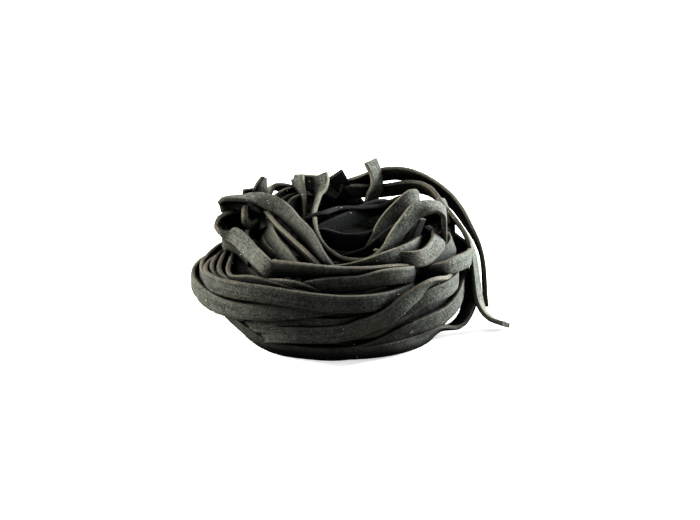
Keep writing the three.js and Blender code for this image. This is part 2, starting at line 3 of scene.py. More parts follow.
import bpy
import numpy as np
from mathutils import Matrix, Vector


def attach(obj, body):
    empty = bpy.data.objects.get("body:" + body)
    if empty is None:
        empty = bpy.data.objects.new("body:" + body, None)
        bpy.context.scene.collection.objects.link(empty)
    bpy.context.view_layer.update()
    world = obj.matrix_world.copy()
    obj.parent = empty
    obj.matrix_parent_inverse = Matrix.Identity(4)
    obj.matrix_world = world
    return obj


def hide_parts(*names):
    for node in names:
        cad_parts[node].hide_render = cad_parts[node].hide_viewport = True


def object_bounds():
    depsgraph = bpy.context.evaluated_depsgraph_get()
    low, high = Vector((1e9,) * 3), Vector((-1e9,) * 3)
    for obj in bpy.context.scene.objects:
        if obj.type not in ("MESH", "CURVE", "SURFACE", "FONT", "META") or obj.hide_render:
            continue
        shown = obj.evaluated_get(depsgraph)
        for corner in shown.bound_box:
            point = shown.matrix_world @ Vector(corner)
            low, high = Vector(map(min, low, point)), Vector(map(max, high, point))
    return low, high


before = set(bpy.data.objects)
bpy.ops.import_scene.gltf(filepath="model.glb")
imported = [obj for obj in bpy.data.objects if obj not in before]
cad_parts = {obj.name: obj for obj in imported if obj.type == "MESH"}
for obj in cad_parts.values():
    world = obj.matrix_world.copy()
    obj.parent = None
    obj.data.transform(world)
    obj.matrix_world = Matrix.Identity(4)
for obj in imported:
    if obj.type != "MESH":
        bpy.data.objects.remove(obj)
cad_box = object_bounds()

# A nest of dry black pasta: flat ribbons wound into a ring, with loops that stand over its rim, a
# hollow in the middle and two loose tails. The paths are in millimetres from the middle of the ring
# at floor level. The meshes are in metres, in the frame.
METRE = 1000.0  # millimetres
FRAME_SHIFT = np.array([-3.6739, 0.3476, 0.2000])  # from the middle of the ring to the frame

RIBBON_WIDTH = 4.2
RIBBON_THICKNESS = 1.25
NARROWEST = 0.96  # shares of that width, from one ribbon to another
BROADEST = 1.05
DEEPEST_BOW = 0.25  # how far a ribbon's face may be bowed, either way
UNEVENNESS = 0.12
RING_SPACING = 0.9  # between two rings of vertices along a ribbon
PROFILE_POINTS = 24
PROFILE_SQUARENESS = 0.3  # 1 is an ellipse, 0 a sharp rectangle
# The seed of each ribbon's tone, breadth and bow. It was found by a search for the one that gives the
# ribbons in front the tones wanted, so another one, or a ribbon more or less, changes how they look.
TONE_SEED = 3601

COIL_SAMPLE = 0.25  # steps of the parameter at which a coil's curve is read, and a loop's
LOOP_SAMPLE = 0.1
EVENNESS = 0.7  # power of the distance between two stations in a loop's parameter

BACK_COILS = 8
BACK_SPANS = 5  # between the stations of one
BACK_SEED = 11
BACK_RADIUS = 25  # of one that doesn't swell out
BACK_SWELL = 8  # how much further out the widest lie
SWELL_START = 0.18  # share of half a wave at which the swell starts with the lowest one
SWELL_SPAN = 0.75  # and how much more of it follows up to the topmost
LOWEST_BACK_COIL = 3
BACK_STACK = 15.5  # from the height of the lowest to that of the topmost
LOWEST_MIDDLE = 2.6  # the middle line of none comes lower
BACK_TUCK = 2.2  # how far their ends are tucked in

INNER_COILS = 5
INNER_SPANS = 4
INNER_SEED = 4
INNER_BOW = 1.5  # how far their middles are lifted and drawn towards the hollow
INNER_DROP = 0.5
INNER_LEAN = 12  # degrees that their outer faces look up
FIRST_INNER = 25  # azimuth where the first one starts

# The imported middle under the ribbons: radii and heights from its underside round to its bowl.
CORE_PROFILE = [(24, 1.2), (27, 5), (28, 11), (26.5, 15), (23.5, 18.3), (20.5, 18.3), (14, 13), (8, 7.6)]
CORE_SIDES = 64
BOWL_RINGS = 3  # the last rings of the profile, which lie round the middle of the hollow
HOLLOW_MIDDLE = (3, -3)

SPECK_DENSITY = 20000.0  # specks of flour on a square metre
SMALLEST_SPECK = 0.06
LARGEST_SPECK = 0.26
SPECK_SEED = 5

# Coils that lie round the ring. Each station is an azimuth in degrees (0 in front, 90 on the
# right), a radius, a height, and how far the outer face leans to look upwards, in degrees.
COILS = {
    "base_ring": [(-150, 27, 14, 0), (-120, 29, 12, -5), (-95, 30.3, 10, -15), (-70, 30.3, 7.6, -20),
                  (-51, 30, 5.7, -25), (-39, 29.3, 3.2, -25), (-17, 28.5, 2.1, -25),
                  (5, 28.4, 2.2, -25), (18, 28.8, 3.5, -25), (30, 29.7, 5.8, -20), (40, 30.4, 7, -15),
                  (54, 31.4, 7.6, -5), (65, 31.9, 8.6, 0), (75, 31.8, 10, 0), (85, 31.6, 11.6, 0),
                  (95, 31.5, 12.9, 0), (110, 31.3, 14, 0), (150, 29, 17, 0)],
    "floor_curl": [(-40, 26, 2.6, -10), (-10, 27.5, 2.3, -15), (20, 29.1, 2.3, -20),
                   (45, 28.9, 2.3, -12), (58, 28.6, 2.1, -38), (64, 28.9, 2, -62), (70, 30.6, 1.5, -76),
                   (74, 31.9, 2.1, -80), (79, 33.3, 5.1, -78), (84, 33.4, 7.4, -66),
                   (97, 32.3, 10, -34), (112, 31.5, 13, -10)],
    "diagonal": [(-100, 27, 10, 0), (-70, 27, 6.5, 0), (-41, 29, 4.7, 0), (-25, 30.8, 6.8, 0),
                 (-7, 31.3, 7.9, 0), (6, 31.7, 9, 0), (15, 32.5, 11, 0), (23, 33.2, 13, 0),
                 (30, 33.4, 15.6, -5), (35, 33.2, 16.8, -15), (39.5, 33, 17.8, -30),
                 (44.5, 32.5, 18.1, -45), (52.5, 31.5, 17, -55), (75, 28.5, 16, -30)],
    "right_low": [(-60, 28, 8, 0), (-20, 29.8, 8.5, 0), (18, 30, 9.5, 0), (32, 31, 13.1, 0),
                  (44, 32.4, 14.9, 0), (58, 32.6, 15, 0), (68, 31.6, 14.9, 0), (80, 30, 14.5, 0),
                  (100, 29.5, 14, 0), (140, 31, 13, 0), (170, 31.5, 11, 0)],
    "right_high": [(30, 24.5, 17, 0), (48, 26.5, 18.5, 0), (57, 31, 19.2, 0), (62.5, 32.1, 19.5, 0),
                   (71, 32.8, 18.9, 0), (82, 33.2, 17.8, 0), (92, 32.8, 16.9, 0), (104, 32, 16.4, 0),
                   (120, 31.5, 16.4, 0), (165, 31, 15, 0), (190, 30.5, 14, 0)],
    "right_packed": [(40, 28.5, 9, 0), (65, 30, 9.5, 0), (90, 30.4, 10.5, 0), (125, 30, 13, 0)],
    "front_rim": [(-32, 28, 22.4, -20), (-15, 27.7, 22.6, -20), (0, 27.5, 22.1, -20),
                  (17, 27.5, 21.6, -20), (28, 27.3, 21.2, -20), (40, 27, 20, -8), (60, 26.5, 18.5, 0),
                  (85, 26.5, 18, 0)],
    "rim_inner": [(-20, 24, 20.5, 0), (8, 24.5, 21.4, 10), (27, 25.5, 23.5, 10), (46, 25, 24.2, 10),
                  (60, 23.5, 23.5, 10), (80, 21.5, 20, 5)],
    "short_bend": [(-45, 26.5, 13.5, 0), (-23.5, 29, 16.1, 0), (-15.5, 29, 18.1, 0), (0, 29.2, 20, 0),
                   (12, 29.3, 20.2, 0), (21.5, 29.8, 21.1, 0), (30.3, 29.7, 20.9, 0),
                   (36.5, 28.9, 20.3, 2), (41.5, 27.7, 19.6, 4), (47, 25.6, 18.9, 6)],
    "front_long": [(-140, 26, 12, 0), (-115, 27, 13, 0), (-94, 28.6, 14.5, 0), (-80, 31.6, 15.2, 0),
                   (-66, 34.6, 15.9, 0), (-50, 35.1, 16.8, 0), (-25, 34.2, 17.9, 0),
                   (-6, 33.8, 17.2, 0), (14, 32.6, 16.3, 0), (28, 30.4, 15.8, 0), (42, 27.3, 15.3, 0)],
    "outer_left": [(-165, 29, 10, 0), (-135, 31, 10.4, 0), (-115, 32.5, 10.4, 0), (-105, 33.3, 11.3, 0),
                   (-95, 34.4, 11.8, 0), (-80, 35.7, 12.1, 0), (-66, 35.8, 12.3, 0),
                   (-48, 34.6, 11.8, 0), (-29, 33, 13, 0), (-8, 30.5, 14.5, 0), (40, 28.5, 15, 0)],
    "front_mid": [(-50, 28.5, 9.5, 0), (-16, 30.3, 10, 0), (2, 30.6, 9.9, 0), (30, 30, 11.7, 0),
                  (55, 29, 13.6, 0)],
    "shadow_low": [(-80, 29.5, 9, 0), (-40, 30, 7.5, 0), (-25, 30.4, 8.8, 0), (5, 29.5, 8, 0),
                   (30, 29, 8.6, 0), (52, 28.6, 9.6, 0)],
    "page_a": [(-130, 28, 13, 0), (-107, 30.7, 13.9, 0), (-95, 31.8, 13.8, 0), (-84, 33, 14.3, 0),
               (-67, 34.2, 14.5, 0), (-45, 32.5, 15, 0)],
    "page_b": [(-130, 26, 13, 0), (-103, 27, 15, 0), (-88, 28.2, 16, 0), (-75, 31.2, 16, 0),
               (-62, 33, 15.6, 0), (-40, 32, 16, 0)],
    "page_c": [(-125, 24.5, 13, 0), (-100, 25.5, 15.5, 0), (-84, 27, 17, 0), (-67, 31, 16.6, 0),
               (-55, 32.8, 16.2, 0), (-35, 31.5, 16, 0)],
    "page_d": [(-125, 23, 13, 0), (-95, 24.3, 16, 0), (-77, 25.9, 17, 0), (-62, 29.6, 17, 0),
               (-50, 32.3, 17.2, 0), (-40, 32.3, 18.6, 0), (-28, 31.8, 18.4, 0), (-14, 31, 17, 0)],
    "left_face": [(-50, 25, 16, 0), (-38, 27.5, 16.5, 0), (-28, 30.5, 18.6, 0), (-18, 31, 19, 0),
                  (-8, 29, 16.5, 0), (2, 28, 14.5, 0)],
    "rim_left": [(-60, 24, 20, 10), (-95, 22, 22, 10), (-125, 21.5, 23, 5), (-145, 22.5, 22.5, 0),
                 (-170, 23, 22, 0), (-200, 23.5, 20.5, 0)],
    "left_packed": [(-45, 31, 10, 0), (-75, 34, 9.3, 0), (-95, 34.2, 9, 0), (-120, 33, 9, 0)],
    "curl_shade": [(10, 27.5, 4, 0), (30, 27.8, 4.2, 0), (50, 28.6, 4.6, 0), (64, 29.3, 5.6, 0),
                   (85, 30, 8.5, 0)],
    "low_left": [(-185, 26, 3.1, -15), (-160, 27.2, 3, -20), (-130, 27.6, 3.1, -22),
                 (-110, 27.3, 3.2, -20), (-95, 26.7, 3.4, -15), (-84, 26.2, 3.9, -12)],
}

# Ribbons that stand over the rim or cross the hollow. Each station is x, y, z, then the azimuth
# that the ribbon's face looks to, and how far it looks upwards, in degrees.
LOOPS = {
    "cut_flap": [(9.5, -17.3, 22.6, 15, 0), (13, -19.6, 22.9, 20, 4), (16.3, -20.6, 23.1, 24, 8),
                 (18.5, -20.3, 23, 26, 9), (20.5, -19, 22.9, 32, 14), (22.2, -17, 23, 38, 22),
                 (23.7, -14.5, 23.6, 50, 33), (24.8, -11.5, 24.3, 60, 38), (24.7, -8, 24.6, 75, 40),
                 (23.5, -5.5, 22.3, 100, 38), (21.5, -5, 20, 130, 30)],
    "behind_flap": [(18, -19.5, 20, 30, 5), (22.3, -16, 20.8, 40, 10), (24.3, -14, 20.3, 45, 12),
                    (26.3, -11, 20.6, 60, 18), (28, -8, 21.2, 75, 20), (28.3, -5.5, 21.8, 95, 20),
                    (27.5, -3, 21.8, 125, 15), (25.5, -1, 20.6, 150, 10), (22.5, 0, 19, 165, 5)],
    "hollow_arch": [(-3.9, 14, 32.8, -20, 0), (-3.5, 13, 31.4, -28, 2), (-3.8, 11.5, 30.1, -42, 4),
                    (-4.4, 10, 28.8, -50, 5), (-4.9, 7, 27.7, -56, 8), (-5.6, 2, 26.6, -62, 10),
                    (-5.6, -3, 25.6, -65, 5), (-4.9, -7, 24.4, -62, -8), (-3.4, -11, 23.2, -55, -25),
                    (-1.2, -14.5, 22.3, -40, -40), (1.4, -17, 21.7, -20, -45), (4.1, -19, 21.7, 0, -45),
                    (7, -19.5, 21.8, 15, -42), (9.6, -19.5, 22.7, 25, -35),
                    (11.8, -18.5, 24.1, 32, -20), (13.5, -16.5, 25.9, 36, -5), (15, -15, 27.9, 36, 2),
                    (17.4, -13, 30.4, 38, 10), (19.7, -11, 32.2, 35, 30), (22.1, -9.8, 32.7, 25, 58),
                    (23.8, -8.8, 32.5, 30, 68), (25.3, -8, 31.7, 55, 55), (26.2, -7.5, 30.5, 85, 15),
                    (26.4, -7.5, 28, 92, 0), (26.5, -7.5, 24.6, 92, 0), (26.2, -7.5, 20, 92, 0)],
    "hollow_strip": [(0, -12, 18, 0, 0), (3.2, -13, 19.9, 10, 10), (7.3, -12, 20.9, 20, 15),
                     (10.2, -11, 22.8, 30, 20), (12.7, -9, 24.4, 32, 20), (15.4, -7, 25.7, 35, 12),
                     (19, -4, 27, 38, 5)],
    "wide_leaf": [(7, -12, 19, 20, 5), (10, -7.5, 23, 18, 8), (12.2, -4.5, 26.2, 14, 12),
                  (14.9, -2.6, 28.9, 12, 14), (17.5, -1, 31, 16, 14), (19, 0.6, 31.5, 45, 12),
                  (19.9, 2.6, 30, 75, 3), (20.3, 5, 27, 92, -3), (20.5, 8, 22, 98, 0)],
    "lit_leaf": [(17.6, -9, 19.5, 60, 0), (18.9, -7, 23.4, 64, 0), (20, -6.2, 26, 66, 3),
                 (20.9, -5.8, 28.2, 68, 5)],
    "hollow_low": [(-9, -8, 21, -20, 0), (-3.9, -7, 24.1, -10, 0), (1, -9, 23.5, -5, 4),
                   (3.7, -9, 23.4, 0, 5), (7.1, -7.5, 23.2, 10, 5), (12.8, -3, 24, 25, 5),
                   (19.1, 3, 25.2, 40, 0), (22, 8, 24, 60, 0)],
    "hollow_back": [(-7, -2, 25.6, -20, -30), (-3.9, 0, 27, -20, -40), (-0.7, 3, 27.3, -15, -50),
                    (3.7, 5, 26.6, -5, -50), (8, 7, 26.1, 0, -50), (12.2, 8.5, 25.9, 5, -45),
                    (16.4, 9, 27.2, 25, -20), (20, 10, 26, 50, 0)],
    "hollow_mid": [(-7, -6, 23, -10, 0), (-1.5, -1.5, 24.4, -8, 0), (4.7, 4, 25.3, 0, 0),
                   (11, 9, 26, 10, 0), (16, 13, 23, 20, 0)],
    "top_leaf": [(-17, 4, 24.5, -10, -20), (-21.5, 4.2, 26.1, -15, -10), (-24.8, 5.6, 26.9, -25, 0),
                 (-27.4, 6.6, 27.3, -38, 5), (-28.7, 6.7, 28.1, -90, 15), (-27.9, 6.4, 29, -130, 60),
                 (-26, 6, 29.5, -160, 75), (-23.8, 5.5, 29.7, 180, 80), (-21.8, 5, 30, -80, 80),
                 (-19.6, 4.5, 29.9, -60, 62), (-14.6, 2, 28.7, -50, 35), (-10, -5, 26.8, -52, 12),
                 (-6.2, -13, 25.4, -55, 8), (-3.4, -21, 23, -50, 6), (-0.5, -23, 20, -45, 0)],
    "left_crown": [(-21, 7, 25, 50, 0), (-21.7, 8.5, 28, 50, 5), (-21.5, 9, 30.8, 50, 5)],
    "left_tip": [(-19, 8, 27, 0, 5), (-18.8, 9, 29.9, 20, 5), (-18.6, 9.3, 31.4, 52, 5),
                 (-18.2, 9.8, 32.5, 72, 3), (-17.8, 10.2, 33.5, 85, 0)],
    "rim_arch": [(-19.5, 10, 25, 0, -50), (-18.5, 13, 27.2, 0, -55), (-17.1, 16, 28, 0, -55),
                 (-15.9, 17, 28.4, 0, -55), (-14.6, 17.5, 28.5, 0, -55), (-12.9, 18, 27.9, 0, -50),
                 (-8.6, 19, 25.3, 0, -30), (-5, 19.5, 22, 0, -20)],
    "rim_edge_a": [(-18, 2, 24.9, -20, 0), (-16.4, 6, 26.3, -15, 0), (-14.2, 10, 27.2, -12, 0),
                   (-10.6, 15, 27.2, -5, 0), (-8, 17, 25, 0, 0)],
    "rim_edge_b": [(-17, -1, 24, -15, 0), (-15.9, 4, 25.1, -10, 0), (-12, 11, 26.2, -5, 0),
                   (-9.8, 13, 26.3, 0, 0), (-6, 15, 24.5, 5, 0)],
    "rim_edge_c": [(-13.5, -2, 23, 0, 0), (-13.1, 2, 24, 0, 0), (-11.7, 6, 25.3, 0, 0),
                   (-9.5, 10, 26.7, 5, 0), (-6, 12, 26, 10, 0)],
    "corner_fold": [(-8.1, 4, 22, -72, 0), (-8.3, 8, 25.5, -68, 0), (-8.4, 10, 27.5, -65, 0),
                    (-8.8, 12, 29.1, -60, 0), (-9.3, 13.5, 30.5, -50, 0), (-9.7, 14.5, 31.9, -40, 0)],
    "corner_back": [(-10.6, 15.5, 30.3, -20, 0), (-8.1, 17, 29.8, -5, 0), (-5.8, 18, 29.2, 0, 0),
                    (-3, 19, 28.4, 5, 0), (1, 20, 26, 5, 0)],
    "back_corner": [(-0.1, 19, 31.1, 15, 5), (1.3, 20, 28.2, 18, 0), (2.8, 21, 25.4, 20, 0),
                    (4.8, 22, 22.4, 20, 0), (7, 22, 19, 20, 0)],
    "hook": [(8.6, 20, 34.5, 46, 0), (9.3, 19.5, 33.1, 49, 0), (10, 18.9, 31.5, 50, 0),
             (10.3, 17.8, 29.8, 48, 0), (10.2, 16.8, 28.1, 46, 0), (9.4, 16.3, 26.7, 45, 0),
             (8.9, 16, 25.1, 45, 0), (8, 16, 22, 45, 0)],
    "left_loop": [(-17, 6, 24, 180, 60), (-22.4, 6.5, 25, 180, 68), (-25.4, 6, 25.6, 180, 68),
                  (-27.5, 4.5, 25.6, -150, 62), (-28.8, 3, 25.1, -112, 42), (-29.3, 1.5, 24.2, -95, 12),
                  (-29, 0, 23.3, -72, -33), (-27.7, -1.5, 23.1, -45, -62), (-25.9, -3, 23.2, 160, -50),
                  (-24, -5.5, 23.2, 158, -40), (-20.4, -13, 22.1, 165, -23),
                  (-16.8, -20.5, 21.3, 176, -4), (-14.5, -22, 19, 180, 4),
                  (-12.5, -22.5, 16.5, 180, 8)],
    "left_cheek": [(-26, 7, 21, -115, 0), (-27.5, 3, 21.5, -95, 0), (-27.4, 0, 20.5, -75, 5),
                   (-26.4, -2, 20, -60, 8), (-24.6, -4, 19.9, -50, 8), (-21, -10, 19.8, -38, 8),
                   (-17, -17, 18.5, -25, 5)],
    "s_fold": [(-20, 8, 27, 45, 0), (-21.1, 6, 28, 50, 0), (-21.9, 4, 26.7, 58, 5),
               (-22, 2, 25.6, 58, 5), (-21.3, 1, 24.6, 50, 5), (-20, 1.5, 23.3, 40, 0),
               (-18.5, 4, 21, 35, 0)],
    "grey_leaf": [(-20, 8, 27.3, -55, 25), (-18.5, 4.5, 26, -56, 24), (-17, 1, 24.6, -60, 25),
                  (-15.2, -7, 22.9, -66, 25), (-13.6, -12, 22.4, -68, 25), (-11.8, -17, 22.1, -66, 22),
                  (-9.5, -22, 20.5, -58, 15)],
    "under_leaf": [(-18, 5.5, 25.6, -62, -15), (-16.3, 1, 25.4, -62, -18), (-14, -4, 24.6, -63, -22),
                   (-9.5, -13, 23.6, -64, -24), (-5.5, -20.5, 22.1, -58, -18), (-3, -23, 20, -50, -10)],
    "back_arch": [(-18, 21, 17, -30, 0), (-11.7, 24, 21.1, -20, 0), (-5.4, 24, 23.5, -10, -15),
                  (5.3, 22.5, 27.6, 3, -28), (11.1, 21.5, 30, -2, -27), (14.7, 21, 30.7, -10, -27),
                  (18.4, 20, 30.6, -22, -25), (22.2, 18.5, 29.6, -36, -20),
                  (26.2, 16.2, 27.7, -46, -17), (29.6, 13.2, 25.3, -55, -12),
                  (32.1, 9.8, 22.7, -64, -13), (33.6, 7, 20.8, -71, -18), (34.8, 5, 19, -78, -18),
                  (36.3, 3, 15.2, -88, -12), (37.1, 1.5, 6.8, -90, -5), (37.5, 1, 2.8, -90, -5)],
    "front_tail": [(-14, 17, 20, -15, 0), (-9.1, 20, 23.4, -10, -10), (4.1, 21, 26, 0, -25),
                   (9.4, 20.5, 26.2, -5, -28), (14.7, 19.5, 27, -8, -30), (18.7, 18, 28.2, -16, -34),
                   (22.6, 15.5, 28.4, -42, -33), (24.6, 13.5, 27.8, -55, -33),
                   (26.7, 10, 26.1, -70, -33), (29.6, 5, 24, -75, -33), (31.2, 2.5, 22.6, -78, -32),
                   (33, -1, 20.1, -88, -28), (33.8, -2.6, 17, -105, -20), (34.6, -4, 11.5, -111, -12),
                   (35.2, -5.2, 7.2, -109, -14), (36.4, -6.2, 4.1, -95, -28),
                   (37.5, -6.7, 2.8, -80, -45), (38.8, -7.2, 2, -68, -55), (40.5, -8, 1.6, -55, -60),
                   (42, -8.9, 1.5, -50, -60)],
    "stub": [(26, 10.5, 27.3, 48, 0), (26.7, 9.5, 26.6, 50, 0), (27.8, 7.5, 25.7, 55, 0),
             (29.1, 5, 22.9, 60, 0)],
    "behind_loop": [(-28.9, 4, 23.5, 48, 15), (-25.9, 7, 23.1, 47, 18), (-23, 9, 22.7, 40, 15),
                    (-17, 12, 21.3, 30, 0)],
    "right_wall": [(17, 16, 18.6, 15, -10), (22, 12.5, 21.4, 20, -12), (25.5, 9.5, 22.7, 25, -8),
                   (28, 6.5, 21.6, 35, -5), (28.5, 3, 20, 60, 0), (27.5, 0, 18, 80, 0)],
}


class Seeded:
    """Random numbers that come out the same on every run."""

    MULTIPLIER = 1664525
    INCREMENT = 1013904223
    MODULUS = 2 ** 32

    def __init__(self, seed):
        self.state = seed % self.MODULUS

    def between(self, low, high):
        self.state = (self.state * self.MULTIPLIER + self.INCREMENT) % self.MODULUS
        return low + (high - low) * self.state / self.MODULUS


# ---------------------------------------------------------------- paths of the ribbons


def back_coils():
    """Coils that carry the ring round behind, stacked up, each a little higher at its left end."""
    chance = Seeded(BACK_SEED)
    coils = {}
    for i in range(BACK_COILS):
        level = i / (BACK_COILS - 1)
        middle = LOWEST_BACK_COIL + BACK_STACK * level
        swell = math.sin(math.pi * (SWELL_START + SWELL_SPAN * level))
        radius = BACK_RADIUS + BACK_SWELL * swell + chance.between(-0.5, 0.5)
        slope = chance.between(0, 3)
        start = chance.between(78, 110)
        end = chance.between(238, 285)
        stations = []
        for k in range(BACK_SPANS + 1):
            azimuth = start + (end - start) * k / BACK_SPANS
            tuck = BACK_TUCK if k in (0, BACK_SPANS) else 0
            height = middle + slope * (2 * k / BACK_SPANS - 1) + chance.between(-0.8, 0.8)
            reach = radius - tuck + chance.between(-0.6, 0.6)
            lean = chance.between(-8, 8)
            stations.append((azimuth, reach, max(LOWEST_MIDDLE, height), lean))
        coils[f"back_{i}"] = stations
    return coils


def inner_coils():
    """Inside the rim: coils that lean into the hollow."""
    chance = Seeded(INNER_SEED)
    coils = {}
    for i in range(INNER_COILS):
        start = FIRST_INNER + 360 * i / INNER_COILS + chance.between(-15, 15)
        sweep = chance.between(110, 170)
        radius = chance.between(19, 22)
        height = chance.between(17.5, 20)
        slope = chance.between(-1.5, 1.5)
        stations = []
        for k in range(INNER_SPANS + 1):
            along = k / INNER_SPANS
            bow = INNER_BOW * math.sin(math.pi * along)
            reach = radius - bow + chance.between(-0.7, 0.7)
            level = height + slope * (2 * along - 1) + bow - INNER_DROP
            lean = INNER_LEAN + chance.between(-10, 18)
            stations.append((start + sweep * along, reach, level, lean))
        coils[f"inner_{i}"] = stations
    return coils


def natural_spline(t, rows, at):
    """Natural cubic spline through rows of numbers at the parameters t, read at the values at."""
    n = len(t)
    gaps = np.diff(t)
    system = np.eye(n)
    bends = np.zeros_like(rows)
    for i in range(1, n - 1):
        system[i, i - 1:i + 2] = gaps[i - 1], 2 * (gaps[i - 1] + gaps[i]), gaps[i]
        bends[i] = 6 * ((rows[i + 1] - rows[i]) / gaps[i] - (rows[i] - rows[i - 1]) / gaps[i - 1])
    second = np.linalg.solve(system, bends)
    i = np.clip(np.searchsorted(t, at) - 1, 0, n - 2)
    span = gaps[i][:, None]
    a = (t[i + 1] - at)[:, None] / span
    b = (at - t[i])[:, None] / span
    cubic = ((a ** 3 - a) * second[i] + (b ** 3 - b) * second[i + 1]) * span ** 2 / 6
    return a * rows[i] + b * rows[i + 1] + cubic


def run_along(gaps):
    """From the gaps between points, how far along each point lies."""
    return np.concatenate([[0], np.cumsum(gaps)])


def facing(azimuth, tilt):
    """Unit vectors that look to an azimuth and up by a tilt."""
    a, t = np.radians(azimuth), np.radians(tilt)
    return np.stack([np.sin(a) * np.cos(t), -np.cos(a) * np.cos(t), np.sin(t)], -1)


def round_points(rows):
    """Points from rows of azimuth, radius and height."""
    azimuth = np.radians(rows[:, 0])
    radius = rows[:, 1]
    return np.stack([radius * np.sin(azimuth), -radius * np.cos(azimuth), rows[:, 2]], -1)


def coil_path(stations):
    """Points and face directions along a coil."""
    rows = np.array(stations, float)
    points = round_points(rows)
    t = run_along(np.linalg.norm(np.diff(points, axis=0), axis=1))
    curve = natural_spline(t, rows, np.linspace(0, t[-1], int(t[-1] / COIL_SAMPLE) + 2))
    return round_points(curve), facing(curve[:, 0], curve[:, 3])


def loop_path(stations):
    """The same for a loop, whose stations are already points."""
    rows = np.array(stations, float)
    faces = facing(rows[:, 3], rows[:, 4])
    for i in range(1, len(faces)):
        if faces[i] @ faces[i - 1] < 0:
            faces[i] = -faces[i]
    t = run_along(np.linalg.norm(np.diff(rows[:, :3], axis=0), axis=1) ** EVENNESS)
    at = np.linspace(0, t[-1], int(t[-1] / LOOP_SAMPLE) + 2)
    points = natural_spline(t, rows[:, :3], at)
    turned = np.stack([np.interp(at, t, faces[:, k]) for k in range(3)], -1)
    return points, turned


def even_steps(points, faces, step):
    """The path with its points an even step apart, its faces square to it, and the length run."""
    run = run_along(np.linalg.norm(np.diff(points, axis=0), axis=1))
    at = np.linspace(0, run[-1], max(3, int(run[-1] / step) + 1))
    points = np.stack([np.interp(at, run, points[:, k]) for k in range(3)], -1)
    faces = np.stack([np.interp(at, run, faces[:, k]) for k in range(3)], -1)
    along = np.gradient(points, axis=0)
    along /= np.linalg.norm(along, axis=1)[:, None]
    faces = faces - (faces * along).sum(1)[:, None] * along
    faces /= np.linalg.norm(faces, axis=1)[:, None]
    return points, faces, at


# ---------------------------------------------------------------- node trees as expressions


class Value:
    """A socket, so that sums on it can be written as sums."""

    def __init__(self, tree, socket):
        self.tree = tree
        self.socket = socket

    def _maths(self, operation, *values):
        return self.tree.node("ShaderNodeMath", {"operation": operation}, dict(enumerate(values)))[0]

    def __add__(self, other):
        return self._maths("ADD", self, other)

    def __sub__(self, other):
        return self._maths("SUBTRACT", self, other)

    def __rsub__(self, other):
        return self._maths("SUBTRACT", other, self)

    def __mul__(self, other):
        return self._maths("MULTIPLY", self, other)

    def __pow__(self, other):
        return self._maths("POWER", self, other)

    def __abs__(self):
        return self._maths("ABSOLUTE", self)

    def sign(self):
        return self._maths("SIGN", self)

    def clamped(self, low=0.0, high=1.0):
        return self._maths("MINIMUM", self._maths("MAXIMUM", self, low), high)

    __radd__ = __add__
    __rmul__ = __mul__


class Outputs:
    """The outputs of a node, by name or number."""

    def __init__(self, tree, node):
        self.tree = tree
        self.made = node

    def __getitem__(self, key):
        return Value(self.tree, self.made.outputs[key])


class Tree:
    """A node tree that is built by calls."""

    def __init__(self, tree):
        self.tree = tree

    def node(self, kind, settings=None, values=None):
        """A node of this kind. The values or links of its sockets are given by name or number."""
        made = self.tree.nodes.new(kind)
        for name, setting in (settings or {}).items():
            setattr(made, name, setting)
        for key, value in (values or {}).items():
            if isinstance(value, Value):
                self.tree.links.new(value.socket, made.inputs[key])
            else:
                made.inputs[key].default_value = value
        return Outputs(self, made)

    def mix(self, factor, first, second):
        """A mix of two colours."""
        return self.node("ShaderNodeMix", {"data_type": "RGBA"}, {0: factor, 6: first, 7: second})[2]

    def vector(self, operation, *values):
        """A sum on vectors, of which the first output is a vector and the one named Value a number."""
        return self.node("ShaderNodeVectorMath", {"operation": operation}, dict(enumerate(values)))

    def scaled(self, vector, factor):
        """A vector made longer or shorter."""
        return self.node("ShaderNodeVectorMath", {"operation": "SCALE"}, {0: vector, "Scale": factor})[0]

    def noise(self, place, scale, detail):
        """A soft pattern of numbers from 0 to 1."""
        values = {"Vector": place, "Scale": scale, "Detail": detail}
        return self.node("ShaderNodeTexNoise", {}, values)["Fac"]

    def stored(self, name, kind="FLOAT"):
        """An attribute of the mesh."""
        found = self.node("GeometryNodeInputNamedAttribute", {"data_type": kind}, {"Name": name})
        return found["Attribute"]


def modifier_tree(name, inputs):
    """A geometry tree with a Geometry input, then the named ones. Returns the tree, and its inputs."""
    tree = bpy.data.node_groups.new(name, "GeometryNodeTree")
    tree.interface.new_socket("Geometry", in_out="INPUT", socket_type="NodeSocketGeometry")
    for label, kind in inputs:
        tree.interface.new_socket(label, in_out="INPUT", socket_type="NodeSocket" + kind)
    tree.interface.new_socket("Geometry", in_out="OUTPUT", socket_type="NodeSocketGeometry")
    maker = Tree(tree)
    return maker, maker.node("NodeGroupInput")


def close_tree(maker, geometry, material):
    """Ends the tree with a real mesh that has the material on it."""
    realized = maker.node("GeometryNodeRealizeInstances", {}, {"Geometry": geometry})["Geometry"]
    finished = maker.node("GeometryNodeSetMaterial", {}, {"Geometry": realized, "Material": material})
    maker.node("NodeGroupOutput", {}, {"Geometry": finished["Geometry"]})


def linked(name, data):
    """A new object in the scene."""
    made = bpy.data.objects.new(name, data)
    bpy.context.scene.collection.objects.link(made)
    return made


def plain_mesh(name, source, maker, settings):
    """What the tree makes of the source object, as a plain mesh object of that name."""
    modifier = source.modifiers.new("made", "NODES")
    modifier.node_group = maker.tree
    sockets = {item.name: item.identifier for item in maker.tree.interface.items_tree
               if item.item_type == "SOCKET" and item.in_out == "INPUT"}
    for label, value in settings.items():
        modifier[sockets[label]] = value
    depsgraph = bpy.context.evaluated_depsgraph_get()
    mesh = bpy.data.meshes.new_from_object(
        source.evaluated_get(depsgraph), preserve_all_data_layers=True, depsgraph=depsgraph)
    mesh.name = name
    bpy.data.objects.remove(source)
    return linked(name, mesh)


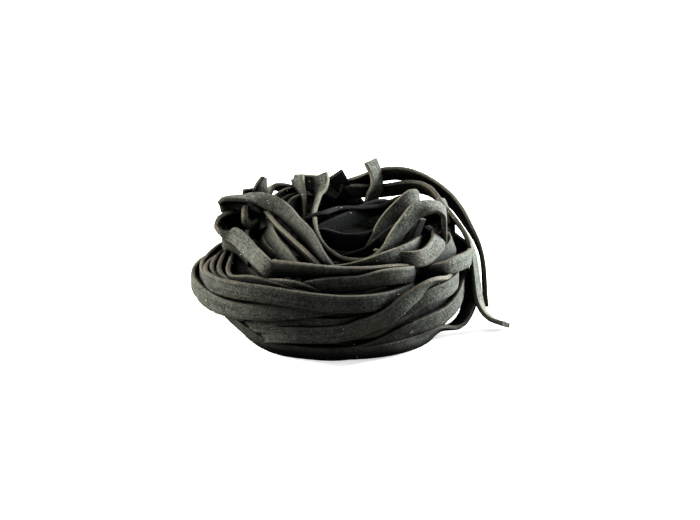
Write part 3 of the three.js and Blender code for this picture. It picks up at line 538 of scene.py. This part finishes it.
# ---------------------------------------------------------------- materials


def new_material(name):
    """An empty material, and the tree to fill."""
    material = bpy.data.materials.new(name)
    material.use_nodes = True
    material.node_tree.nodes.clear()
    return material, Tree(material.node_tree)


def close_material(tree, shader):
    tree.node("ShaderNodeOutputMaterial", {}, {"Surface": shader})


DARK_DOUGH = (0.0185, 0.021, 0.0175, 1)
FLOURED_DOUGH = (0.118, 0.126, 0.106, 1)
WORN_EDGE = (0.13, 0.112, 0.08, 1)
FLOUR_SPOT = (0.45, 0.41, 0.33, 1)
# Darker dough mixed in for each ribbon's random tone and for painted shade on the ribbons listed as in
# shade.
DARK_TONE_AND_SHADE_DOUGH = (0.004, 0.0045, 0.005, 1)
# The near-black colour that the painted shade darkens the dough to.
PAINTED_SHADE_DOUGH = (0.001, 0.001, 0.001, 1)
DULLNESS = 0.04  # the specular level of dry dough and flour
FLOURINESS = 0.48  # from no flour at 0 to all floured at 1
GRAIN_CONTRAST = 2.2
MOTTLE_CONTRAST = 1.1
STREAK_CONTRAST = 1.4
EDGE_START = 0.86  # share of half the breadth where a ribbon's edge begins
PATCH_START = 0.52  # level of the patches above which they are worn
MOST_WEAR = 0.6
SPOT_SIZE = 0.13  # radius of a spot of flour, as a share of its cell
DARKENING = 0.38  # share of the darker dough, for random tone and painted shade, that a tone of 1 mixes in
MOST_DARKENING = 0.95
# Painted shade from ambient occlusion, which darkens a ribbon's colour where other ribbons lie round it.
AIR_REACH = 0.012  # metres within which other ribbons shade one
AIR_START = 0.38  # share of open air at which some light comes in
AIR_FROM_FLOOR = 0.2  # the most that the white floor adds to it
# Painted shade in the narrow crevices between ribbons.
CREVICE_REACH = 0.004
CREVICE_START = 0.48


def pasta_material():
    """Dry dough coloured with squid ink: charcoal, floury in its grain, browner along its edges, with
    painted shade darkening it in the crevices and the hollow."""
    material, tree = new_material("squid_ink_pasta")
    place = tree.node("ShaderNodeTexCoord")["Object"]
    tint = tree.node("ShaderNodeAttribute", {"attribute_name": "tint"})["Fac"]
    across = tree.node("ShaderNodeAttribute", {"attribute_name": "across"})["Fac"]
    run = tree.node("ShaderNodeAttribute", {"attribute_name": "run"})["Fac"]

    # Patterns over the dough. The streaks run along each ribbon.
    grain = tree.noise(place, scale=2300.0, detail=3.0)
    mottle = tree.noise(place, scale=700.0, detail=3.0)
    patches = tree.noise(place, scale=90.0, detail=2.0)
    streak_place = tree.node("ShaderNodeCombineXYZ", {}, {
        "X": across * 6.0, "Y": run * 0.05, "Z": tint * 40.0})[0]
    streaks = tree.noise(streak_place, scale=1.6, detail=2.0)
    dust = tree.node("ShaderNodeTexVoronoi", {"feature": "F1"}, {"Vector": place, "Scale": 900.0})

    # Its colours, from the dough out to the flour on it.
    speckle = ((grain - 0.5) * GRAIN_CONTRAST + (mottle - 0.5) * MOTTLE_CONTRAST
               + (streaks - 0.5) * STREAK_CONTRAST + FLOURINESS).clamped()
    base = tree.mix(speckle, DARK_DOUGH, FLOURED_DOUGH)
    edge = ((abs(across) - EDGE_START) * 9.0).clamped()
    wear = (edge * 0.5 + (patches - PATCH_START) * 1.2).clamped(0.0, MOST_WEAR)
    worn = tree.mix(wear, base, WORN_EDGE)
    spots = ((SPOT_SIZE - dust["Distance"]) * 14.0).clamped()
    spotted = tree.mix(spots * 0.5, worn, FLOUR_SPOT)
    # Each ribbon's random tone, with painted shade added on the ribbons listed as deep or in shade.
    toned = tree.mix((tint * DARKENING).clamped(0.0, MOST_DARKENING), spotted, DARK_TONE_AND_SHADE_DOUGH)

    # Painted shade: ambient occlusion darkens the colour where other ribbons lie round it, less of it near
    # the floor.
    open_air = tree.node("ShaderNodeAmbientOcclusion", {"samples": 8}, {"Distance": AIR_REACH})["AO"]
    crevice = tree.node("ShaderNodeAmbientOcclusion", {"samples": 8}, {"Distance": CREVICE_REACH})["AO"]
    height = tree.node("ShaderNodeSeparateXYZ", {}, {0: place})["Z"]
    near_floor = ((AIR_REACH - height) * 18.0).clamped(0.0, AIR_FROM_FLOOR)
    reached = ((open_air + near_floor - AIR_START) * 2.0).clamped()
    uncovered = ((crevice - CREVICE_START) * 2.6).clamped()
    shaded = tree.mix(reached * uncovered, PAINTED_SHADE_DOUGH, toned)

    relief = grain * 0.6 + mottle * 0.4 + streaks * 0.25
    bump = tree.node("ShaderNodeBump", {}, {
        "Height": relief, "Strength": 0.9, "Distance": 0.0004})["Normal"]
    roughness = (0.7 + (grain - 0.5) * 0.3).clamped(0.5, 0.9)
    shader = tree.node("ShaderNodeBsdfPrincipled", {}, {
        "Base Color": shaded, "Roughness": roughness, "Normal": bump, "Specular IOR Level": DULLNESS})[0]
    close_material(tree, shader)
    return material


# Colours of the packed ribbons, kept darker than the pasta as painted shade.
SHADED_DARK_LAYER = (0.012, 0.012, 0.012, 1)
SHADED_PALE_LAYER = (0.045, 0.044, 0.04, 1)


def core_material():
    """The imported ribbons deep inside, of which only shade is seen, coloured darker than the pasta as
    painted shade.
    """
    material, tree = new_material("shade_painted_packed_pasta")
    place = tree.node("ShaderNodeTexCoord")["Object"]
    layers = tree.node("ShaderNodeTexWave", {"bands_direction": "Z"}, {
        "Vector": place, "Scale": 120.0, "Distortion": 6.0, "Detail": 2.0})["Fac"]
    colour = tree.mix(layers, SHADED_DARK_LAYER, SHADED_PALE_LAYER)
    bump = tree.node("ShaderNodeBump", {}, {
        "Height": layers, "Strength": 0.8, "Distance": 0.0008})["Normal"]
    shader = tree.node("ShaderNodeBsdfPrincipled", {}, {
        "Base Color": colour, "Roughness": 0.9, "Normal": bump, "Specular IOR Level": DULLNESS})[0]
    close_material(tree, shader)
    return material


DULL_FLOUR = (0.24, 0.21, 0.16, 1)
PALE_FLOUR = (0.55, 0.51, 0.43, 1)


def flour_material():
    """Specks of flour, none of them quite white."""
    material, tree = new_material("flour")
    cloud = tree.noise(tree.node("ShaderNodeTexCoord")["Object"], scale=1500.0, detail=2.0)
    colour = tree.mix(cloud, DULL_FLOUR, PALE_FLOUR)
    shader = tree.node("ShaderNodeBsdfPrincipled", {}, {
        "Base Color": colour, "Roughness": 0.85, "Specular IOR Level": DULLNESS})[0]
    close_material(tree, shader)
    return material


FLOOR_TONE = (0.80, 0.80, 0.80, 1)
PALER_FLOOR_TONE = (0.84, 0.84, 0.84, 1)
FLOOR_GLOW = 0.75


def floor_material():
    """White ground that glows, so that the nest's shade on it stays pale."""
    material, tree = new_material("white_floor")
    cloud = tree.noise(tree.node("ShaderNodeTexCoord")["Object"], scale=3.0, detail=1.0)
    colour = tree.mix(cloud, FLOOR_TONE, PALER_FLOOR_TONE)
    shader = tree.node("ShaderNodeBsdfPrincipled", {}, {
        "Base Color": colour, "Roughness": 0.9, "Specular IOR Level": 0.1,
        "Emission Color": colour, "Emission Strength": FLOOR_GLOW})[0]
    close_material(tree, shader)
    return material


# ---------------------------------------------------------------- geometry trees


SHARP_ANGLE = math.radians(50)  # a larger one between two faces, as at a cut end, isn't smoothed
BREADTH_CHANGE = 0.12  # how much a ribbon's breadth changes along it, as a share
BOW_LEVEL = 0.35  # where the square of the share across is this, the bow moves nothing


def ribbon_tree():
    """Sweeps a flat rounded profile along the edges of a mesh, with its face the way that the
    attribute of that name looks."""
    maker, inputs = modifier_tree("ribbons", [
        ("Width", "Float"), ("Thickness", "Float"), ("Squareness", "Float"), ("Profile Points", "Int"),
        ("Unevenness", "Float"), ("Material", "Material")])
    curve = maker.node("GeometryNodeMeshToCurve", {}, {"Mesh": inputs["Geometry"]})["Curve"]
    curve = maker.node("GeometryNodeStoreNamedAttribute", {"data_type": "FLOAT_VECTOR", "domain": "POINT"}, {
        "Geometry": curve, "Name": "spine", "Value": maker.node("GeometryNodeInputPosition")[0]})["Geometry"]
    curve = maker.node("GeometryNodeSetCurveNormal", {"mode": "FREE"}, {
        "Curve": curve, "Normal": maker.stored("face", "FLOAT_VECTOR")})["Curve"]

    circle = maker.node("GeometryNodeCurvePrimitiveCircle", {"mode": "RADIUS"}, {
        "Resolution": inputs["Profile Points"], "Radius": 1.0})["Curve"]
    place = maker.node("ShaderNodeSeparateXYZ", {}, {0: maker.node("GeometryNodeInputPosition")[0]})
    thick = place["X"].sign() * abs(place["X"]) ** inputs["Squareness"]
    wide = place["Y"].sign() * abs(place["Y"]) ** inputs["Squareness"]
    circle = maker.node("GeometryNodeStoreNamedAttribute", {"data_type": "FLOAT", "domain": "POINT"}, {
        "Geometry": circle, "Name": "across", "Value": wide})["Geometry"]
    profile = maker.node("GeometryNodeSetPosition", {}, {
        "Geometry": circle, "Position": maker.node("ShaderNodeCombineXYZ", {}, {
            "X": thick * inputs["Thickness"] * 0.5, "Y": wide * inputs["Width"] * 0.5})[0]})["Geometry"]
    mesh = maker.node("GeometryNodeCurveToMesh", {}, {
        "Curve": curve, "Profile Curve": profile, "Fill Caps": True})["Mesh"]

    # Each ribbon's own breadth, bow and unevenness.
    face = maker.stored("face", "FLOAT_VECTOR")
    spine = maker.stored("spine", "FLOAT_VECTOR")
    arm = maker.vector("SUBTRACT", maker.node("GeometryNodeInputPosition")[0], spine)[0]
    depth = maker.vector("DOT_PRODUCT", arm, face)["Value"]
    side = maker.vector("SUBTRACT", arm, maker.scaled(face, depth))[0]
    slow = maker.node("ShaderNodeTexNoise", {"noise_dimensions": "4D"}, {
        "Vector": spine, "W": maker.stored("tint") * 10.0, "Scale": 180.0, "Detail": 1.0})["Fac"]
    quick = maker.noise(maker.node("GeometryNodeInputPosition")[0], scale=700.0, detail=1.0)
    breadth = maker.stored("breadth") * (1.0 + (slow - 0.5) * BREADTH_CHANGE)
    across = maker.stored("across")
    bowed = maker.stored("bow") * (across * across - BOW_LEVEL) + (quick - 0.5) * inputs["Unevenness"]
    widened = maker.vector("ADD", spine, maker.scaled(side, breadth))[0]
    place = maker.vector("ADD", widened, maker.scaled(face, depth + bowed))[0]
    mesh = maker.node("GeometryNodeSetPosition", {}, {"Geometry": mesh, "Position": place})["Geometry"]

    bend = maker.node("GeometryNodeInputMeshEdgeAngle")["Unsigned Angle"]
    sharp = maker.node("FunctionNodeCompare", {"data_type": "FLOAT", "operation": "GREATER_THAN"}, {
        0: bend, 1: SHARP_ANGLE})[0]
    mesh = maker.node("GeometryNodeSetShadeSmooth", {"domain": "FACE"}, {
        "Geometry": mesh, "Shade Smooth": True})["Geometry"]
    mesh = maker.node("GeometryNodeSetShadeSmooth", {"domain": "EDGE"}, {
        "Geometry": mesh, "Selection": sharp, "Shade Smooth": False})["Geometry"]
    close_tree(maker, mesh, inputs["Material"])
    return maker


RARITY = 2.5  # the power that makes large specks rarer than small ones
SPECK_SHAPE = (1.0, 0.8, 0.45)  # length, breadth and height


def flour_tree():
    """Scatters specks of flour over a surface."""
    maker, inputs = modifier_tree("flour_specks", [
        ("Density", "Float"), ("Smallest", "Float"), ("Largest", "Float"), ("Seed", "Int"),
        ("Material", "Material")])
    spots = maker.node("GeometryNodeDistributePointsOnFaces", {"distribute_method": "RANDOM"}, {
        "Mesh": inputs["Geometry"], "Density": inputs["Density"], "Seed": inputs["Seed"]})
    grain = maker.node("GeometryNodeMeshIcoSphere", {}, {"Radius": 1.0, "Subdivisions": 1})["Mesh"]
    share = maker.node("FunctionNodeRandomValue", {"data_type": "FLOAT"}, {"Seed": inputs["Seed"]})[1]
    size = inputs["Smallest"] + (inputs["Largest"] - inputs["Smallest"]) * share ** RARITY
    length, breadth, height = SPECK_SHAPE
    shape = maker.node("ShaderNodeCombineXYZ", {}, {
        "X": size * length, "Y": size * breadth, "Z": size * height})[0]
    placed = maker.node("GeometryNodeInstanceOnPoints", {}, {
        "Points": spots["Points"], "Instance": grain, "Rotation": spots["Rotation"], "Scale": shape})
    close_tree(maker, placed["Instances"], inputs["Material"])
    return maker


# ---------------------------------------------------------------- pieces


# Ribbons that lie deep in the nest, darkened by painted shade.
SHADE_PAINTED_RIBBONS = ("hollow_back", "hollow_mid", "hollow_low", "hollow_strip", "back_corner", "curl_shade")
PAINTED_SHADE_TINT = 2.3  # painted shade: these ribbons deep in the nest look darker and keep hardly any flour in their colour
PAINTED_SHADE_ARM = {"top_leaf": (25.0, 31.0)}  # painted shade: millimetres along a ribbon between which it turns darker
ARM_PAINTED_SHADE_TINT = 1.1


def strands_object(paths, chance):
    """One object that holds the middle lines of the named ribbons, with what each needs to be swept."""
    vertices, edges = [], []
    columns = {"face": [], "tint": [], "breadth": [], "bow": [], "run": []}
    for name, (points, faces) in paths.items():
        points, faces, run = even_steps(points, faces, RING_SPACING)
        first = len(vertices)
        vertices += [tuple(p) for p in (points + FRAME_SHIFT) / METRE]
        edges += [(first + i, first + i + 1) for i in range(len(points) - 1)]
        tint = chance.between(0, 1)
        breadth = chance.between(NARROWEST, BROADEST)
        bow = chance.between(-DEEPEST_BOW, DEEPEST_BOW)
        # Painted shade on the ribbons deep in the nest and on one arm of the top leaf.
        tint += PAINTED_SHADE_TINT if name in SHADE_PAINTED_RIBBONS else 0
        arm_painted_shade = np.interp(run, PAINTED_SHADE_ARM[name], (0, ARM_PAINTED_SHADE_TINT)) if name in PAINTED_SHADE_ARM else 0 * run
        columns["face"] += list(faces.ravel())
        columns["tint"] += list(tint + arm_painted_shade)
        columns["breadth"] += [breadth] * len(points)
        columns["bow"] += [bow / METRE] * len(points)
        columns["run"] += list(run)
    mesh = bpy.data.meshes.new("strands")
    mesh.from_pydata(vertices, edges, [])
    for key, values in columns.items():
        if key == "face":
            mesh.attributes.new(key, "FLOAT_VECTOR", "POINT").data.foreach_set("vector", values)
        else:
            mesh.attributes.new(key, "FLOAT", "POINT").data.foreach_set("value", values)
    return linked("strands", mesh)


def ribbons(name, paths, material, maker, chance):
    """A piece made of the named ribbons."""
    return plain_mesh(name, strands_object(paths, chance), maker, {
        "Width": RIBBON_WIDTH / METRE, "Thickness": RIBBON_THICKNESS / METRE,
        "Squareness": PROFILE_SQUARENESS, "Profile Points": PROFILE_POINTS,
        "Unevenness": UNEVENNESS / METRE, "Material": material})


def flour_specks(names, material, maker):
    """Specks of flour that cling to the ribbons of the named pieces."""
    vertices, faces = [], []
    for name in names:
        mesh = bpy.data.objects[name].data
        first = len(vertices)
        vertices += [tuple(v.co) for v in mesh.vertices]
        faces += [tuple(first + v for v in face.vertices) for face in mesh.polygons]
    dusted = bpy.data.meshes.new("dusted")
    dusted.from_pydata(vertices, [], faces)
    return plain_mesh("flour_specks", linked("dusted", dusted), maker, {
        "Density": SPECK_DENSITY, "Smallest": SMALLEST_SPECK / METRE, "Largest": LARGEST_SPECK / METRE,
        "Seed": SPECK_SEED, "Material": material})


def core(material):
    """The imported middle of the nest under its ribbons: a low ring round a bowl."""
    rings = len(CORE_PROFILE)
    vertices, faces = [], []
    for row, (radius, height) in enumerate(CORE_PROFILE):
        middle_x, middle_y = HOLLOW_MIDDLE if row >= rings - BOWL_RINGS else (0, 0)
        for k in range(CORE_SIDES):
            azimuth = 2 * math.pi * k / CORE_SIDES
            x = middle_x + radius * math.sin(azimuth)
            y = middle_y - radius * math.cos(azimuth)
            vertices.append((x, y, height))
    for row in range(rings - 1):
        for k in range(CORE_SIDES):
            this = row * CORE_SIDES + k
            following = row * CORE_SIDES + (k + 1) % CORE_SIDES
            faces.append((this, following, following + CORE_SIDES, this + CORE_SIDES))
    faces.append(tuple(reversed(range(CORE_SIDES))))
    faces.append(tuple(range((rings - 1) * CORE_SIDES, rings * CORE_SIDES)))
    mesh = bpy.data.meshes.new("packed_core")
    mesh.from_pydata([tuple(v) for v in (np.array(vertices) + FRAME_SHIFT) / METRE], [], faces)
    mesh.materials.append(material)
    return linked("packed_core", mesh)


def kept_inside_box(piece):
    """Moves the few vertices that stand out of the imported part's box, by 0.15 mm at most, back to it."""
    places = np.empty(len(piece.data.vertices) * 3)
    piece.data.vertices.foreach_get("co", places)
    low, high = (np.array(corner) for corner in cad_box)
    places = np.clip(places.reshape(-1, 3), low, high)
    piece.data.vertices.foreach_set("co", places.ravel())
    piece.data.update()


def joined_to_nest(piece):
    """The piece takes the place of the nest."""
    kept_inside_box(piece)
    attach(piece, "root")
    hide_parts("pasta_nest")


chance = Seeded(TONE_SEED)
pasta = pasta_material()
sweeper = ribbon_tree()

groups = {
    "ring_coils": {name: coil_path(s) for name, s in COILS.items()},
    "standing_loops": {name: loop_path(s) for name, s in LOOPS.items()},
    "back_ribbons": {name: coil_path(s) for name, s in {**back_coils(), **inner_coils()}.items()},
}
for name, paths in groups.items():
    joined_to_nest(ribbons(name, paths, pasta, sweeper, chance))
joined_to_nest(flour_specks(list(groups), flour_material(), flour_tree()))
joined_to_nest(core(core_material()))

# ---------------------------------------------------------------- floor, light and camera


FLOOR_REACH = 4.0  # metres each way
SOFTBOX_AIM = (0.0, 0.0, 0.015)
# Each softbox's place and size in metres, power in watts and colour.
SOFTBOXES = {
    "right_softbox": ((0.78, 0.40, 0.25), 0.4, 68.0, (0.96, 0.985, 1.0)),
    "left_softbox": ((-0.82, 0.28, 0.22), 0.4, 32.0, (1.0, 0.95, 0.87)),
    "top_softbox": ((0.0, 0.3, 0.9), 0.6, 7.0, (1.0, 0.99, 0.97)),
}

SKY_LEVEL = 0.35  # level with the horizon
SKY_RISE = 0.22  # how much brighter it is straight overhead
SKY_DIMMEST = 0.02
BLACK = (0.0, 0.0, 0.0, 1)
WHITE = (1.0, 1.0, 1.0, 1)

CAMERA_DISTANCE = 700.0  # millimetres from the middle of the ring at floor level
CAMERA_ELEVATION = math.radians(22)  # above the level
CAMERA_LENS = 144.0  # focal length
CAMERA_SENSOR = 36.0
# How far the middle of the ring lies left of the middle of the view, and below it.
NEST_LEFT = 3.5
NEST_BELOW = 14.25


def turned_to(made, place, aim):
    """Puts a light or camera at a place, and turns it to look at another."""
    made.location = place
    made.rotation_euler = (Vector(aim) - Vector(place)).to_track_quat("-Z", "Y").to_euler()


def floor():
    """White ground, which throws no light back on the nest."""
    side = FLOOR_REACH
    mesh = bpy.data.meshes.new("floor")
    mesh.from_pydata([(-side, -side, 0), (side, -side, 0), (side, side, 0), (-side, side, 0)], [],
                     [(0, 1, 2, 3)])
    mesh.materials.append(floor_material())
    made = linked("floor", mesh)
    made.visible_diffuse = False
    made.visible_glossy = False


def softboxes():
    """Square lights on both sides of the nest, a little behind it, and a weak one above."""
    for name, (place, size, power, colour) in SOFTBOXES.items():
        light = bpy.data.lights.new(name, "AREA")
        light.shape = "SQUARE"
        light.size = size
        light.energy = power
        light.color = colour
        turned_to(linked(name, light), place, SOFTBOX_AIM)


def sky():
    """Light from all round, stronger from above than from below."""
    world = bpy.data.worlds.new("studio")
    world.use_nodes = True
    world.node_tree.nodes.clear()
    tree = Tree(world.node_tree)
    direction = tree.node("ShaderNodeSeparateXYZ", {}, {0: tree.node("ShaderNodeTexCoord")["Generated"]})
    level = (direction["Z"] * SKY_RISE + SKY_LEVEL).clamped(SKY_DIMMEST)
    colour = tree.mix(level, BLACK, WHITE)
    tree.node("ShaderNodeOutputWorld", {}, {
        "Surface": tree.node("ShaderNodeBackground", {}, {"Color": colour, "Strength": 1.0})[0]})
    bpy.context.scene.world = world


def camera():
    """Looks down at the nest from in front, through a long lens."""
    up = np.array([0, math.sin(CAMERA_ELEVATION), math.cos(CAMERA_ELEVATION)])
    back = np.array([0, -math.cos(CAMERA_ELEVATION), math.sin(CAMERA_ELEVATION)])
    place = (FRAME_SHIFT + CAMERA_DISTANCE * back) / METRE
    aim = (FRAME_SHIFT + np.array([NEST_LEFT, 0, 0]) + NEST_BELOW * up) / METRE
    data = bpy.data.cameras.new("camera")
    data.lens = CAMERA_LENS
    data.sensor_width = CAMERA_SENSOR
    made = linked("camera", data)
    turned_to(made, place, aim)
    bpy.context.scene.camera = made


floor()
softboxes()
sky()
camera()
bpy.context.scene.view_settings.view_transform = "Standard"
